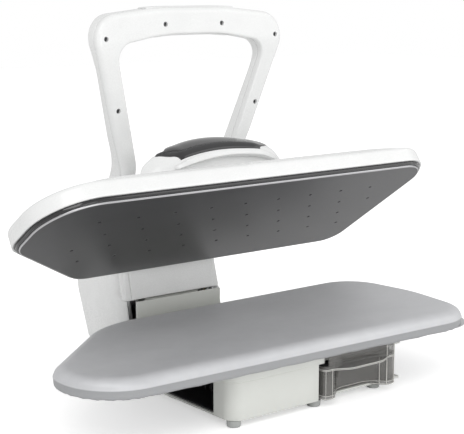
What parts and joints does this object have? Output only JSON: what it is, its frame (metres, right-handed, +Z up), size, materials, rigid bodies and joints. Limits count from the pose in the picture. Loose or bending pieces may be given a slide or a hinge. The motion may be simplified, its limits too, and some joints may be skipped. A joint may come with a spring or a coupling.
{
  "type": "steam ironing press",
  "caption": "Tabletop steam press: padded silver board on a base, heated platen under a loop handle that swings down on it.",
  "frame": {"origin": "middle of the footprint of the whole press, on the table under its feet", "axes": "+X along the board from the nose to the tail, +Y from the user's side to the hinge side, +Z up"},
  "size_m": [0.6603, 0.4789, 0.5228],
  "materials": {
    "white_shell": "smooth white",
    "base_plastic": "warm light grey",
    "dark_plastic": "black",
    "gloss_black": "high gloss black",
    "smoke_tank": "smoky clear",
    "board_fabric": "metallic silver cover",
    "foam": "soft pad",
    "steel": "bright steel",
    "dark_steel": "blued steel",
    "sole": "dark satin coated",
    "cast": "cast",
    "brass": "plain",
    "foot_rubber": "light grey",
    "bumper_rubber": "black",
    "hose_rubber": "translucent white",
    "board_green": "printed circuit board",
    "button_grey": "dark grey",
    "bush_bronze": "sintered bronze"
  },
  "bodies": {
    "base": {"board_plate": "steel", "board_pad": "foam", "board_cover": "board_fabric", "board_screws": "steel", "base_tray": "base_plastic", "base_housing": "base_plastic", "base_deck": "base_plastic", "recess_liner": "dark_plastic", "feet": "foot_rubber", "tank_socket": "dark_plastic", "water_pump": "dark_plastic", "pump_coupler": "hose_rubber", "water_hose": "hose_rubber", "power_inlet": "dark_plastic", "inlet_pins": "brass", "tower_left": "steel", "tower_right": "steel", "tower_cover": "base_plastic", "tower_bolts": "dark_steel", "hinge_bushes": "bush_bronze", "link_foot_pins": "steel", "lift_springs": "dark_steel", "open_bumpers": "bumper_rubber"},
    "tank": {"water_tank": "smoke_tank", "tank_lid": "dark_plastic", "filler_plug": "dark_plastic", "tank_valve": "dark_plastic"},
    "handle": {"handle_front_shell": "white_shell", "handle_rear_shell": "white_shell", "handle_screws": "dark_steel", "grip": "white_shell", "handle_frame_left": "steel", "handle_frame_right": "steel", "hinge_pins": "steel", "pivot_shaft": "steel", "shaft_clips": "dark_steel", "handle_tubes": "steel"},
    "control_links": {"control_link_left": "steel", "control_link_right": "steel"},
    "platen": {"sole_plate": "sole", "steam_chamber": "cast", "heating_element": "dark_steel", "insulating_ring": "gloss_black", "platen_housing": "white_shell", "thermostat": "brass", "thermal_fuse": "steel", "steam_inlet": "brass", "platen_carrier_left": "steel", "platen_carrier_right": "steel", "pivot_bushes": "bush_bronze", "link_head_pins": "steel", "carrier_bolts": "dark_steel", "pod_housing": "white_shell", "pod_lens": "gloss_black", "pod_visor": "white_shell", "control_board": "board_green", "pod_bracket": "white_shell"},
    "power_button": {"power_button": "button_grey"},
    "steam_button": {"steam_button": "button_grey"},
    "timer_button": {"timer_button": "button_grey"}
  },
  "joints": [
    {"name": "handle_hinge", "type": "hinge", "parent": "base", "child": "handle", "pos_m": [0.014, 0.113, 0.095], "axis": [1, 0, 0], "range_deg": [0, 56], "stiffness_Nm_per_rad": 5, "springref_deg": -131.78},
    {"name": "platen_hinge", "type": "hinge", "parent": "handle", "child": "platen", "pos_m": [0.014, 0.1394, 0.1869], "axis": [1, 0, 0], "range_deg": [-21.81, 0]},
    {"name": "link_hinge", "type": "hinge", "parent": "base", "child": "control_links", "pos_m": [0.014, 0.1187, 0.079], "axis": [1, 0, 0], "range_deg": [0, 65.2]},
    {"name": "tank_slide", "type": "slide", "parent": "base", "child": "tank", "axis": [0, -1, 0], "range_m": [0, 0.17]},
    {"name": "power_button_press", "type": "slide", "parent": "platen", "child": "power_button", "axis": [0, -0.5621, -0.8271], "range_m": [0, 0.0015], "stiffness_N_per_m": 800, "springref_m": -0.001},
    {"name": "steam_button_press", "type": "slide", "parent": "platen", "child": "steam_button", "axis": [0, -0.5621, -0.8271], "range_m": [0, 0.0015], "stiffness_N_per_m": 800, "springref_m": -0.001},
    {"name": "timer_button_press", "type": "slide", "parent": "platen", "child": "timer_button", "axis": [0, -0.5621, -0.8271], "range_m": [0, 0.0015], "stiffness_N_per_m": 800, "springref_m": -0.001}
  ],
  "couplings": [
    {"joint": "platen_hinge", "follows": "handle_hinge", "ratio": -0.38929},
    {"joint": "link_hinge", "follows": "handle_hinge", "ratio": 1.163}
  ]
}
